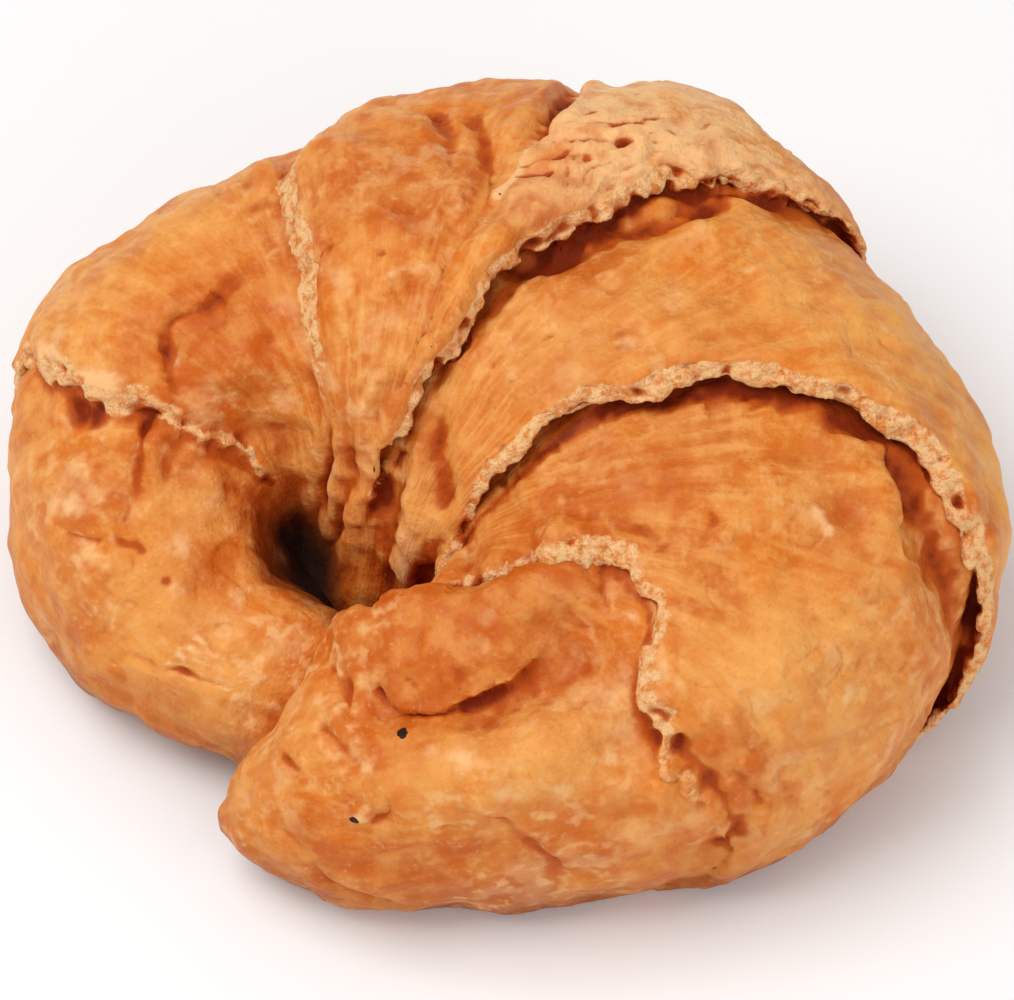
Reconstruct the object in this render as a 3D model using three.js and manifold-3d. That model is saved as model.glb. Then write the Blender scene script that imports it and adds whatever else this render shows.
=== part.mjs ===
// A croissant: one triangle of laminated dough, rolled up, bent into a closed crescent and baked.
// Millimetres, +Z up. The flat underside, where it lay on the tray, is at z = 0.
// +X runs from the slim horn to the thick one and +Y from the horns to the back.
import * as THREE from "three";
import { mergeVertices } from "three/addons/utils/BufferGeometryUtils.js";
import Module from "manifold-3d";

const wasm = await Module();
wasm.setup();

// ---- driving dimensions ----
const AROUND = 40; // sides of the roll's section
const RINGS_PER_STATION = 3; // rings of a sleeve between two stations of the roll
const WIDEST = 0.45; // height of a section's widest line, as a share of its height
const SQUARENESS = 0.88; // 1 is an ellipse, and less is boxier
const LIP_DROP = 1.2; // how far the skin rounds over at a lip
const LIP_DEPTH = 5; // how deep a lip's torn face goes in
const LIP_UNDERCUT = 0.12; // how far back a torn face leans, in stations
const FINEST = 0.1; // joining leaves slivers, and any detail under this is merged away
const TRAY = { size: 400, depth: 60 };

// The roll from the slim horn's tip, clockwise round the back, to the thick horn's tip:
// x and y of its middle, the way its outer side faces in degrees from +X, its half width, its height,
// and how far its underside would reach below the tray, which flattens it. Less than 0 is lifted off it.
const ROLL = [
  [-26.6, -34.4, 240, 9, 22, -4],
  [-34.3, -26.1, 226, 11.5, 26, -3],
  [-45.1, -17.7, 205, 16.2, 34, 1],
  [-50.6, -5.9, 180, 18.7, 42, 5],
  [-47.1, 8.6, 147, 22.2, 50, 6],
  [-34, 16, 114, 26.8, 54.5, 7],
  [-17, 19.1, 87, 32.7, 59, 7],
  [3.7, 18.7, 63, 39.5, 59, 7],
  [18.6, 6.1, 40, 38.4, 57.5, 7],
  [28.7, -12.5, 11, 38.5, 56, 7],
  [23.4, -30.8, -16, 33.5, 51.5, 7],
  [6.4, -40.4, -46, 24.8, 45, 6],
  [-10.6, -42.3, -75, 19.1, 40, 5],
  [-23.1, -42.2, -98, 16.2, 34, 3],
  [-31.3, -43.2, -112, 9.6, 28, 0],
  [-36.8, -44.4, -124, 3.6, 20, -8],
];
const LAST = ROLL.length - 1;

// Where each torn edge lies along the roll, in stations, at every eighth of a turn round it:
// outer side, then over the top, inner side, and back along the underside.
const SLIM_LEDGE = [3.75, 3.6, 3.18, 3.18, 3.6, 3.5, 3.5, 3.7];
const CREST_LEFT = [5.75, 5.55, 5.27, 5.08, 4.6, 4.8, 5.2, 5.6];
const CREST_RIGHT = [6.7, 6.75, 6.93, 6.6, 5.55, 5.6, 6.2, 6.6];
const FLAKY_ROOT = CREST_RIGHT.map((station) => station - 0.35);
const FLAKY_EDGE = [8.05, 7.9, 7.33, 6.85, 5.9, 5.9, 6.8, 7.7];
const ARCH = [9.55, 9.22, 8.71, 8.95, 9.8, 9.95, 9.85, 9.75];
const THICK_COLLAR = [10.82, 10.9, 10.32, 10.9, 11.8, 11.5, 11.1, 10.85];

// The roll is a core with a sleeve for each layer over it. start and end are a sleeve's two edges, rise is how
// far it stands above the roll there, belly is how far it swells in between, and inner is how far it stands
// out into the hole. A sleeve shows between a buried end and a torn lip, and in the hole only the core shows.
const SLEEVES = [
  { start: 0, end: 8, rise: [-3, -3], belly: 0, inner: 0.5, lips: [false, false] },
  { start: 6.2, end: 14.5, rise: [-4, -4], belly: 0, inner: -0.4, lips: [false, false] },
  { start: 0, end: 4.2, rise: [-1, 0], belly: 1, inner: -1.5, lips: [true, false] },
  { start: SLIM_LEDGE, end: 6, rise: [2.5, 0], belly: 1.5, inner: -1.5, lips: [true, false] },
  { start: CREST_LEFT, end: CREST_RIGHT, rise: [4, 5], belly: 1.3, inner: -1.5, lips: [true, true] },
  { start: FLAKY_ROOT, end: FLAKY_EDGE, rise: [-1, 6.5], belly: 4.5, inner: -1.5, lips: [false, true] },
  { start: CREST_RIGHT, end: ARCH, rise: [1, 3.5], belly: 1.5, inner: -1.5, lips: [false, true] },
  { start: FLAKY_EDGE, end: THICK_COLLAR, rise: [-2, 1.2], belly: 1, inner: -1.5, lips: [false, true] },
  { start: 10, end: LAST, rise: [-2, 0], belly: 1, inner: -1.5, lips: [false, true] },
];

// ---- the roll's surface ----
const middle = new THREE.CatmullRomCurve3(
  ROLL.map(([x, y, , , height]) => new THREE.Vector3(x, y, height)),
  false,
  "catmullrom",
);
const shape = new THREE.CatmullRomCurve3(
  ROLL.map(([, , facing, halfWidth, , sink]) => new THREE.Vector3(facing, halfWidth, sink)),
  false,
  "catmullrom",
);

// A rounded power keeps the sign, which makes an ellipse boxier.
const boxy = (value) => Math.sign(value) * Math.abs(value) ** SQUARENESS;

// The point at a station, at an angle round the section, where 0 is outward and a quarter turn is up.
// rise is how far it stands above the roll, and inner how far it stands out into the hole.
function onRoll(station, turn, rise, inner) {
  const at = THREE.MathUtils.clamp(station / LAST, 0, 1);
  const { x, y, z: height } = middle.getPoint(at);
  const { x: facing, y: halfWidth, z: sink } = shape.getPoint(at);
  const heading = THREE.MathUtils.degToRad(facing);
  const inward = Math.max(0, -Math.cos(turn));
  const across = (halfWidth + THREE.MathUtils.lerp(rise, inner, inward)) * boxy(Math.cos(turn));
  const centre = WIDEST * height;
  const above = height + rise - centre;
  const below = centre + sink + 0.3 * rise;
  const side = boxy(Math.sin(turn));
  return new THREE.Vector3(
    x + across * Math.cos(heading),
    y + across * Math.sin(heading),
    centre + side * (side > 0 ? above : below),
  );
}

// The middle of the roll's section at a station.
function inRoll(station) {
  const { x, y, z: height } = middle.getPoint(THREE.MathUtils.clamp(station / LAST, 0, 1));
  return new THREE.Vector3(x, y, WIDEST * height);
}

// An edge's station at an angle round the section: a smooth closed line through its eight places.
function edgeAt(edge, turn) {
  if (typeof edge === "number") return edge;
  const place = (turn / (2 * Math.PI)) * edge.length;
  const first = Math.floor(place);
  const t = place - first;
  const [a, b, c, d] = [-1, 0, 1, 2].map((k) => edge[(first + k + edge.length) % edge.length]);
  return b + 0.5 * t * (c - a + t * (2 * a - 5 * b + 4 * c - d + t * (3 * (b - c) + d - a)));
}

const edgeMean = (edge) => (typeof edge === "number" ? edge : edge.reduce((sum, s) => sum + s) / edge.length);

// ---- solids ----
// A closed mesh as a solid for joining and cutting.
function solidFrom(geometry) {
  const bare = geometry.clone();
  bare.deleteAttribute("normal");
  bare.deleteAttribute("uv");
  const merged = mergeVertices(bare);
  return new wasm.Manifold(
    new wasm.Mesh({
      numProp: 3,
      vertProperties: merged.attributes.position.array,
      triVerts: new Uint32Array(merged.index.array),
    }),
  );
}

// Rings of AROUND points each, skinned and closed at both ends with a point.
function skinned(rings, firstPoint, lastPoint) {
  const points = [firstPoint, ...rings.flat(), lastPoint];
  const last = points.length - 1;
  const vertex = (ring, side) => 1 + ring * AROUND + (side % AROUND);
  const faces = [];
  for (let side = 0; side < AROUND; side++) {
    faces.push(0, vertex(0, side + 1), vertex(0, side));
    for (let ring = 0; ring < rings.length - 1; ring++) {
      const [a, b] = [vertex(ring, side), vertex(ring, side + 1)];
      const [c, d] = [vertex(ring + 1, side), vertex(ring + 1, side + 1)];
      faces.push(a, b, c, b, d, c);
    }
    faces.push(last, vertex(rings.length - 1, side), vertex(rings.length - 1, side + 1));
  }
  const geometry = new THREE.BufferGeometry().setFromPoints(points);
  return geometry.setIndex(faces);
}

// One layer of dough, from its start edge to its end edge, with a torn face behind each lip.
function sleeve({ start, end, rise, belly, inner, lips }) {
  const length = edgeMean(end) - edgeMean(start);
  const count = Math.max(3, Math.round(length * RINGS_PER_STATION));
  const turns = Array.from({ length: AROUND }, (_, side) => (side / AROUND) * 2 * Math.PI);
  const ring = (share, lower = 0, back = 0) =>
    turns.map((turn) => {
      const [from, to] = [edgeAt(start, turn), edgeAt(end, turn)];
      const swell = belly * 4 * share * (1 - share);
      const height = THREE.MathUtils.lerp(rise[0], rise[1], share) + swell - lower;
      return onRoll(THREE.MathUtils.lerp(from, to, share) + back, turn, height, inner);
    });
  const rings = [];
  if (lips[0]) rings.push(ring(0, LIP_DEPTH, LIP_UNDERCUT), ring(0, LIP_DROP));
  for (let k = lips[0] ? 0.5 : 0; k <= count - (lips[1] ? 0.5 : 0); k += 1) rings.push(ring(k / count));
  if (lips[1]) rings.push(ring(1, LIP_DROP), ring(1, LIP_DEPTH, -LIP_UNDERCUT));
  return solidFrom(
    skinned(rings, inRoll(edgeMean(start) + 2 * LIP_UNDERCUT), inRoll(edgeMean(end) - 2 * LIP_UNDERCUT)),
  );
}

const tray = solidFrom(new THREE.BoxGeometry(TRAY.size, TRAY.size, TRAY.depth).translate(0, 0, -TRAY.depth / 2));
const joined = SLEEVES.map(sleeve)
  .reduce((loaf, layer) => loaf.add(layer))
  .subtract(tray)
  .simplify(FINEST);
// Joining can leave a crumb of its own beside the loaf, so the largest body is kept.
const baked = joined.decompose().reduce((a, b) => (a.volume() > b.volume() ? a : b));

// ---- the baked roll as one mesh ----
const { vertProperties, triVerts } = baked.getMesh();
const crust = new THREE.BufferGeometry()
  .setAttribute("position", new THREE.BufferAttribute(vertProperties, 3))
  .setIndex(new THREE.BufferAttribute(triVerts, 1));
crust.computeVertexNormals();

const goldenCrust = new THREE.MeshStandardMaterial({ color: 0xd98a45, roughness: 0.55, metalness: 0 });
const croissant = new THREE.Mesh(crust, goldenCrust);
croissant.name = "croissant";

const part = new THREE.Group();
part.add(croissant);
export default part;
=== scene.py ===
import math

import bmesh
import bpy
import numpy as np
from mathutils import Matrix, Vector, noise
from mathutils.bvhtree import BVHTree


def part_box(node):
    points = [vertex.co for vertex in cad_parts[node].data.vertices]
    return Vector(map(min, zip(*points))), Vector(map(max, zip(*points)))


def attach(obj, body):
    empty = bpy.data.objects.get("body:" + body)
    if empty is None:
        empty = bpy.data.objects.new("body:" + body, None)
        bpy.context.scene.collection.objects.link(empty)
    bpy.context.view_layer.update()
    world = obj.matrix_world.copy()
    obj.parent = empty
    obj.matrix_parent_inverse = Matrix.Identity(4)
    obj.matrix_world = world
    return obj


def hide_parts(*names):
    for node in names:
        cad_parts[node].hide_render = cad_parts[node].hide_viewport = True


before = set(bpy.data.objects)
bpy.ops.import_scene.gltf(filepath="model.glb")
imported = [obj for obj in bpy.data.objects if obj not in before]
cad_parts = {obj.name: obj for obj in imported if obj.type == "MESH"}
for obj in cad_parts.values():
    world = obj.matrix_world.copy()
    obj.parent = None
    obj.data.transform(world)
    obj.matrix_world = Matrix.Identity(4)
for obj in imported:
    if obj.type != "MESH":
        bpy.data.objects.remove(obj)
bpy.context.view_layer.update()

# ---- the rolled dough ----
# The croissant is one triangle of butter dough, folded into many thin sheets, cut long and rolled up from its wide
# side. It is bent until its horns touch and baked, so each turn of the roll ends in an edge that tears and lifts.
low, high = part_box("croissant")
WIDTH = 140.4  # in millimetres, as every length is until the skin is done
MM = (high.x - low.x) / WIDTH
CENTRE = np.array([(low.x + high.x) / 2, (low.y + high.y) / 2, low.z])

WIDEST = 0.45  # how far up its height the roll is widest
SQUARENESS = 0.88  # 1 for a round section, less for a squarer one
UNDERSIDE = 0.3  # how much of a layer's rise there is underneath
TINY = 1e-9  # keeps a division off zero
# From the slim horn's tip, clockwise round the back, to the thick horn's tip, in millimetres: x and y of the middle,
# the way the outer side faces in degrees, half width, height, and how far the underside would sink into the tray.
ROLL = np.array([
    [-26.6, -34.4, 240, 9, 22, -4],
    [-34.3, -26.1, 226, 11.5, 26, -3],
    [-45.1, -17.7, 205, 16.2, 34, 1],
    [-50.6, -5.9, 180, 18.7, 42, 5],
    [-47.1, 8.6, 147, 22.2, 50, 6],
    [-34, 16, 114, 26.8, 54.5, 7],
    [-17, 19.1, 87, 32.7, 59, 7],
    [3.7, 18.7, 63, 39.5, 59, 7],
    [18.6, 6.1, 40, 38.4, 57.5, 7],
    [28.7, -12.5, 11, 38.5, 56, 7],
    [23.4, -30.8, -16, 33.5, 51.5, 7],
    [6.4, -40.4, -46, 24.8, 45, 6],
    [-10.6, -42.3, -75, 19.1, 40, 5],
    [-23.1, -42.2, -98, 16.2, 34, 3],
    [-31.3, -43.2, -112, 9.6, 28, 0],
    [-36.8, -44.4, -124, 3.6, 20, -8],
])
TIP = len(ROLL) - 1


def between(a, b, c, d, t):
    """The value a share t of the way from b to c, on a smooth curve through a, b, c and d."""
    return b + 0.5 * t * (c - a + t * (2 * a - 5 * b + 4 * c - d + t * (3 * (b - c) + d - a)))


def through(rows, station):
    """The values at a station, on a smooth curve through the rows."""
    last = len(rows) - 1 - 1e-6
    rows = np.vstack([2 * rows[0] - rows[1], rows, 2 * rows[-1] - rows[-2]])
    station = np.clip(station, 0, last)
    first = station.astype(int)
    return between(*(rows[first + k] for k in range(4)), (station - first)[..., None])


def squared(wave):
    """A sine or a cosine, bent so that it draws a squarer section."""
    return np.sign(wave) * np.abs(wave) ** SQUARENESS


def on_roll(station, turn, rise, inner=None):
    """Points at stations along the roll and turns round it, raised by rise, or by inner on the hole's side.

    A turn is 0 on the outer side, a quarter at the top, a half on the hole's side and three quarters underneath.
    """
    x, y, facing, half_width, height, sink = np.moveaxis(through(ROLL, station), -1, 0)
    rise = rise + np.zeros_like(x)
    inward = np.clip(-np.cos(turn), 0, 1)
    inner = rise if inner is None else inner
    across = (half_width + rise + (inner - rise) * inward) * squared(np.cos(turn))
    centre = WIDEST * height
    upward = squared(np.sin(turn))
    z = centre + upward * np.where(upward > 0, height + rise - centre, centre + sink + UNDERSIDE * rise)
    heading = np.radians(facing)
    return np.stack([x + across * np.cos(heading), y + across * np.sin(heading), z], -1)


def edge_at(edge, turn):
    """An edge's station at a turn, on a smooth closed line through its evenly spaced places."""
    if np.isscalar(edge):
        return np.full_like(turn, edge)
    edge = np.array(edge)
    place = turn / (2 * math.pi) * len(edge)
    first = np.floor(place).astype(int)
    return between(*(edge[(first + k) % len(edge)] for k in (-1, 0, 1, 2)), place - first)


def lumps(points, size, seed):
    """Smooth noise from about -0.5 to 0.5, with lumps of a size in millimetres."""
    seeds_apart = 13.7
    return np.array([noise.noise(place) for place in (points / size + seeds_apart * seed).tolist()])


def waves(points, *sizes):
    """Lumps of several sizes added up, each given as its height, its size and its seed."""
    return sum(height * lumps(points, size, seed) for height, size, seed in sizes)


# The torn edges' stations at even steps of a turn: outer side, over the top, inner side, back along the underside.
SLIM_LEDGE = [3.75, 3.6, 3.18, 3.18, 3.6, 3.5, 3.5, 3.7]
CREST_LEFT = [5.75, 5.55, 5.27, 5.08, 4.6, 4.8, 5.2, 5.6]
CREST_RIGHT = [6.7, 6.75, 6.93, 6.6, 5.55, 5.6, 6.2, 6.6]
FLAKY_ROOT = [6.35, 6.4, 6.55, 6.2, 5.2, 5.25, 5.85, 6.25]
FLAKY_EDGE = [8.05, 7.9, 7.33, 6.85, 5.9, 5.9, 6.8, 7.7]
ARCH = [9.52, 9.46, 9.22, 8.98, 8.71, 8.58, 8.95, 9.5, 9.9, 10, 9.95, 9.9, 9.85, 9.8, 9.75, 9.65]
THICK_COLLAR = [
    10.82, 10.88, 10.9, 10.78, 10.32, 10.13, 10.9, 11.6, 11.8, 11.7, 11.5, 11.3, 11.1, 10.95, 10.85, 10.8]

# Each layer: its two edges, how far it stands above the roll at each, how far it swells between, how far it comes out
# into the hole, how thick its torn lip is at each edge (0 for none, or at every eighth of a turn), how far the torn
# face leans out for its thickness, how deep the gap under it goes, and how ragged it is.
LAYERS = [
    # The core, in two halves that overlap at the back.
    dict(start=0, end=8, rise=(-3, -3), belly=0, inner=0.5, lips=(0, 0), lean=0, gap=0, ragged=0),
    dict(start=6.2, end=TIP, rise=(-4, -4), belly=0, inner=-0.4, lips=(0, 0), lean=0, gap=0, ragged=0),
    # The slim horn, the left back over it, and the crest over that.
    dict(start=0, end=4.2, rise=(-1, 0), belly=1, inner=-0.8, lips=(0, 0), lean=0, gap=0, ragged=0),
    dict(start=SLIM_LEDGE, end=6, rise=(3.4, 0), belly=1.2, inner=-0.8,
         lips=([1.4, 3.2, 2.6, 1.3, 1, 1, 1, 1], 0), lean=0.9, gap=3, ragged=1.3),
    dict(start=CREST_LEFT, end=CREST_RIGHT, rise=(4, 5), belly=1.3, inner=0.4,
         lips=([2, 3.2, 3.2, 1.2, 0.8, 1, 1, 1.5], [1.2, 1.6, 1.2, 1, 1, 1, 1, 1]), lean=1, gap=2, ragged=0.35),
    # The roll's flaky outermost end at the back right, the arch, and the dome down to the thick horn's collar.
    dict(start=FLAKY_ROOT, end=FLAKY_EDGE, rise=(-1, 7.2), belly=4.8, inner=0.2,
         lips=(0, [1.2, 2, 3.4, 3, 2, 2, 2, 1.5]), lean=0.35, gap=4.5, ragged=1.2),
    dict(start=CREST_RIGHT, end=ARCH, rise=(1, 4.9), belly=1.2, inner=0.3,
         lips=(0, [2.4, 3.1, 3.1, 2.2, 1.2, 1, 1, 2]), lean=0.65, gap=5, ragged=1),
    dict(start=FLAKY_EDGE, end=THICK_COLLAR, rise=(-2, 1.1), belly=0.8, inner=-0.3,
         lips=(0, [0.9, 1.3, 1.6, 1.1, 0.7, 1, 1, 1]), lean=1.7, gap=1.5, ragged=1.2),
    # The thick horn.
    dict(start=10, end=TIP, rise=(-2, 0), belly=1, inner=-0.6, lips=(0, 0), lean=0, gap=0, ragged=0),
]
SLIM_HORN, LEFT_BACK, CREST, FLAKY_END, ARCH_SKIN, DOME, THICK_HORN = range(2, len(LAYERS))
SIDES = 180
RINGS_PER_STATION = 10
NUDGE = 0.02  # of a station, to measure how many millimetres a station is there
TEAR_CIRCLE = 30  # a torn edge's wander is read off a ring of lumps with this radius
BEHIND_LIP = 1.2  # the skin's last ring stays this far behind the torn face
NO_LIP_NEAR = 99


def lip_rings(thickness, lean, gap):
    """A torn lip's rings from its skin inward: how far back, how far down, and how much bare crumb shows."""
    lean = lean * thickness
    return [
        (lean + 0.6, 0 * thickness, 0.1),
        (lean, 0.35 + 0 * thickness, 0.8),
        (0.5 * lean, 0.45 * thickness, 1),
        (0 * lean, 0.8 * thickness, 1),
        (0.4 + 0 * lean, thickness, 1),
        (0.5 * gap + 0 * lean, thickness + 0.3, 0.6),
        (gap + 0 * lean, thickness + 1, 0.3),
        (gap + 1 + 0 * lean, thickness + 4, 0),
        (gap + 2 + 0 * lean, thickness + 9, 0),
    ]


def layer_grid(number, layer):
    """A layer ring by ring: points, stations, turns, bare crumb, and the distance behind its lip."""
    turn = np.linspace(-math.pi / 2, 1.5 * math.pi, SIDES + 1)
    circle = TEAR_CIRCLE * np.stack([np.cos(turn), np.sin(turn), 0 * turn], -1)
    sides = []
    for side, (edge, thickness) in enumerate(zip((layer["start"], layer["end"]), layer["lips"])):
        seed = 2 * number + side
        station = edge_at(edge, turn)
        step = on_roll(station + NUDGE, turn, 0) - on_roll(station - NUDGE, turn, 0)
        speed = np.maximum(np.linalg.norm(step, axis=-1) / (2 * NUDGE), 5)
        tear = waves(circle, (1, 9, seed), (0.6, 3.5, seed + 50), (0.35, 1.6, seed + 90))
        thickness = edge_at(thickness, turn) * (1 + 0.5 * lumps(circle, 6, seed + 30))
        sides.append((station + layer["ragged"] * 2 * tear / speed, speed, thickness))
    (first, first_speed, first_lip), (last, last_speed, last_lip) = sides
    first_torn, last_torn = (np.any(lip) for lip in layer["lips"])
    first_rise, last_rise = layer["rise"]

    def torn_lip(edge, speed, lip, rise):
        rings = []
        for k, (back, down, bare) in enumerate(lip_rings(lip, layer["lean"], layer["gap"])):
            back = back * (1 + 0.7 * lumps(circle, 4, 70 + 9 * number + k))
            rings.append((edge + back / speed, rise - down, bare))
        return rings

    rings = torn_lip(first, first_speed, first_lip, first_rise)[::-1] if first_torn else []
    count = max(4, round((last - first).mean() * RINGS_PER_STATION))
    for share in np.linspace(0, 1, count + 1):
        rise = first_rise + (last_rise - first_rise) * share + layer["belly"] * 4 * share * (1 - share)
        station = first + (last - first) * share
        if first_torn:
            clear = first_lip * layer["lean"] + BEHIND_LIP + 0.1 * share
            station = np.maximum(station, first + clear / first_speed)
        if last_torn:
            clear = last_lip * layer["lean"] + BEHIND_LIP - 0.1 * share
            station = np.minimum(station, last - clear / last_speed)
        rings.append((station, rise, 0))
    if last_torn:
        rings += torn_lip(last, -last_speed, last_lip, last_rise)
    points, stations, bares, behind = [], [], [], []
    for station, rise, bare in rings:
        tucked = layer["inner"] + 0.3 * np.minimum(0, rise - last_rise)
        points.append(on_roll(station, turn, rise, tucked))
        stations.append(station)
        bares.append(np.full_like(turn, bare))
        behind.append(np.minimum(
            (last - station) * last_speed if last_torn else NO_LIP_NEAR,
            (station - first) * first_speed if first_torn else NO_LIP_NEAR) + 0 * turn)
    turns = np.broadcast_to(turn, np.shape(stations))
    return [np.array(values) for values in (points, stations, turns, bares, behind)]


def close(tube):
    """Fills a tube's open ends."""
    bmesh.ops.holes_fill(tube, edges=[edge for edge in tube.edges if edge.is_boundary])


# Every layer is a closed tube, cut flat where it lies on the tray, and all of them are joined into one skin.
VOXEL = 0.5
SEAM = 0.0001
tubes = bmesh.new()
grids = []
for number, layer in enumerate(LAYERS):
    grid = layer_grid(number, layer)
    grids.append(grid)
    tube = bmesh.new()
    made = bmesh.ops.create_grid(tube, x_segments=SIDES, y_segments=len(grid[0]) - 1, size=0.5)
    for place, vert in zip(grid[0].reshape(-1, 3), made["verts"]):
        vert.co = place
    bmesh.ops.remove_doubles(tube, verts=tube.verts, dist=SEAM)
    close(tube)
    bmesh.ops.recalc_face_normals(tube, faces=tube.faces)
    everything = tube.verts[:] + tube.edges[:] + tube.faces[:]
    bmesh.ops.bisect_plane(tube, geom=everything, plane_co=(0, 0, 0), plane_no=(0, 0, -1), clear_outer=True)
    close(tube)
    one = bpy.data.meshes.new("layer")
    tube.to_mesh(one)
    tube.free()
    tubes.from_mesh(one)
    bpy.data.meshes.remove(one)

dough = bpy.data.meshes.new("dough")
tubes.to_mesh(dough)
tubes.free()
raw = bpy.data.objects.new("raw_dough", dough)
bpy.context.scene.collection.objects.link(raw)
remesh = raw.modifiers.new("one_skin", "REMESH")
remesh.mode = "VOXEL"
remesh.voxel_size = VOXEL
skin = bpy.data.meshes.new_from_object(raw.evaluated_get(bpy.context.evaluated_depsgraph_get()))
bpy.data.objects.remove(raw)

# ---- where each point of the skin lies on the roll ----
# A mark on the dough follows the roll: it is given by a station along it and the turn round it in degrees. Each point
# of the joined skin takes these from the layer that it came from, with how bare its crumb is.


def rows_of(parts, name, size, kind):
    """One property of all the points, edges or faces, a row for each."""
    values = np.zeros(len(parts) * size, dtype=kind)
    parts.foreach_get(name, values)
    return values.reshape(-1, size)


co = rows_of(skin.vertices, "co", 3, float)
quads = rows_of(skin.polygons, "vertices", 4, int)
ends = rows_of(skin.edges, "vertices", 2, int)
near = np.concatenate([ends[:, 0], ends[:, 1]])
far = np.concatenate([ends[:, 1], ends[:, 0]])
neighbours = np.bincount(near, minlength=len(co))


def evened(values, passes=1, amount=0.5):
    """Values drawn towards the mean of their neighbours', which smooths a shape or a colour."""
    for _ in range(passes):
        flat = values.reshape(len(co), -1)
        mean = np.stack([np.bincount(near, column[far], len(co)) for column in flat.T], -1) / neighbours[:, None]
        values = values + amount * (mean.reshape(values.shape) - values)
    return values


def facing_out(points):
    """The way the skin faces at each of its points."""
    across = np.cross(points[quads[:, 2]] - points[quads[:, 0]], points[quads[:, 3]] - points[quads[:, 1]])
    total = np.stack([sum(np.bincount(quads[:, k], column, len(co)) for k in range(4)) for column in across.T], -1)
    return total / np.maximum(np.linalg.norm(total, axis=1), TINY)[:, None]


co = evened(co, 5)

corners, values, cells = [], [], []
for number, (points, stations, turns, bares, behind) in enumerate(grids):
    offset = sum(len(part) for part in corners)
    rings, sides = stations.shape
    corners.append(points.reshape(-1, 3))
    owner = np.full(stations.shape, number)
    values.append(np.stack([stations, turns, bares, behind, owner], -1).reshape(-1, 5))
    index = offset + np.arange(rings * sides).reshape(rings, sides)
    a, b, c, d = index[:-1, :-1], index[:-1, 1:], index[1:, 1:], index[1:, :-1]
    cells.append(np.stack([a, b, c], -1).reshape(-1, 3))
    cells.append(np.stack([a, c, d], -1).reshape(-1, 3))
corners, values, cells = np.concatenate(corners), np.concatenate(values), np.concatenate(cells)
layers_tree = BVHTree.FromPolygons(corners.tolist(), cells.tolist())
hits = [layers_tree.find_nearest(place) for place in co.tolist()]
cell = cells[[hit[2] for hit in hits]]
spot = np.array([hit[0] for hit in hits])
a, b, c = (corners[cell[:, k]] for k in range(3))
opposite = ((b, c), (c, a), (a, b))
weights = np.stack([np.linalg.norm(np.cross(one - spot, two - spot), axis=1) for one, two in opposite], -1)
weights = weights / np.maximum(weights.sum(1), TINY)[:, None]
station, turn, crumb, behind, owner = (values[cell] * weights[:, :, None]).sum(1).T
degrees = np.degrees(turn)
crumb = evened(crumb, 1)

# The roll laid out straight, so that a streak can run round it or along it.
half_width, height = through(ROLL, station)[:, 3:5].T
steps = np.linalg.norm(np.diff(ROLL[:, :2], axis=0), axis=1)
length = np.interp(station, np.arange(TIP + 1), np.concatenate([[0], np.cumsum(steps)]))
rolled = np.stack([half_width * np.cos(turn), 0.5 * height * np.sin(turn), length], -1)

# ---- folds, creases and tears ----
# Where the roll bends, its inner side crumples into pleats, and where a layer is dragged over the next one, it leaves
# creases and thin raised rims. Each is a line across the skin that is pressed in, raised, or lifted on one side.
# Creases, dents and flaps also paint shade into the skin's colour along their hollows.
out = facing_out(co)
skin_tree = BVHTree.FromPolygons(co.tolist(), quads.tolist())
wobble = waves(co, (0.9, 4, 3), (0.5, 1.8, 4))
patchy = np.clip(0.9 + 1.5 * lumps(co, 5, 20), 0.2, 1.3)
lift = np.zeros(len(co))
# How much shade is painted into each point's colour, gathered from the marks and shapes below.
crevice_shade = np.zeros(len(co))
pale = np.zeros(len(co))
SHADING = 0.5


def seek(station, degrees):
    """A place just above the roll, from which the nearest skin is found."""
    return on_roll(station, np.radians(degrees), rise=2.5, inner=0.5)


def near_line(places, reach):
    """The skin near a line through places: which points, how far to the line's left, and the line's strength there.

    The line fades out towards both its ends, and on skin that faces another way.
    """
    places = np.array(places, float)
    spans, span_steps = len(places) - 1, 16
    run = through(places, np.linspace(0, spans, span_steps * spans + 1))
    found = [skin_tree.find_nearest(place) for place in seek(*run.T).tolist()]
    line, normal = (np.array([hit[k] for hit in found]) for k in (0, 1))
    along = np.gradient(line, axis=0)
    left = np.cross(normal, along)
    left /= np.maximum(np.linalg.norm(left, axis=1), TINY)[:, None]
    which = np.flatnonzero(np.all((co > line.min(0) - reach) & (co < line.max(0) + reach), axis=1))
    apart = co[which, None] - line[None]
    square = (apart ** 2).sum(-1)
    nearest = square.argmin(1)
    distance = np.sqrt(square.min(1))
    toward = (apart[np.arange(len(which)), nearest] * left[nearest]).sum(1)
    facing = (out[which] * normal[nearest]).sum(1)
    share = nearest / (len(line) - 1)
    faded = np.sin(np.clip(4 * np.minimum(share, 1 - share), 0, 1) * math.pi / 2)
    strength = faded * np.clip(2 * facing + 0.6, 0, 1)
    keep = distance < reach
    return which[keep], np.copysign(distance, toward)[keep], strength[keep]


def from_layer(number):
    """Which of the skin came from a layer."""
    return np.abs(owner - number) < 0.5


def crease(width, depth, shade, *places, on=None):
    """A line pressed into the skin, or into one layer's skin, with the dough swollen a little beside it and painted
    shade along it.
    """
    which, across, strength = near_line(places, 4 * width + 1)
    if on is not None:
        strength = strength * from_layer(on)[which]
    across = across + wobble[which] * min(1, 0.6 * width)
    pressed = np.exp(-((across / width) ** 2))
    beside = np.exp(-(((np.abs(across) - 2.2 * width) / width) ** 2))
    lift[which] -= strength * depth * (pressed - 0.3 * beside)
    crevice_shade[which] += strength * SHADING * shade * pressed ** 3 * patchy[which]


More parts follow.
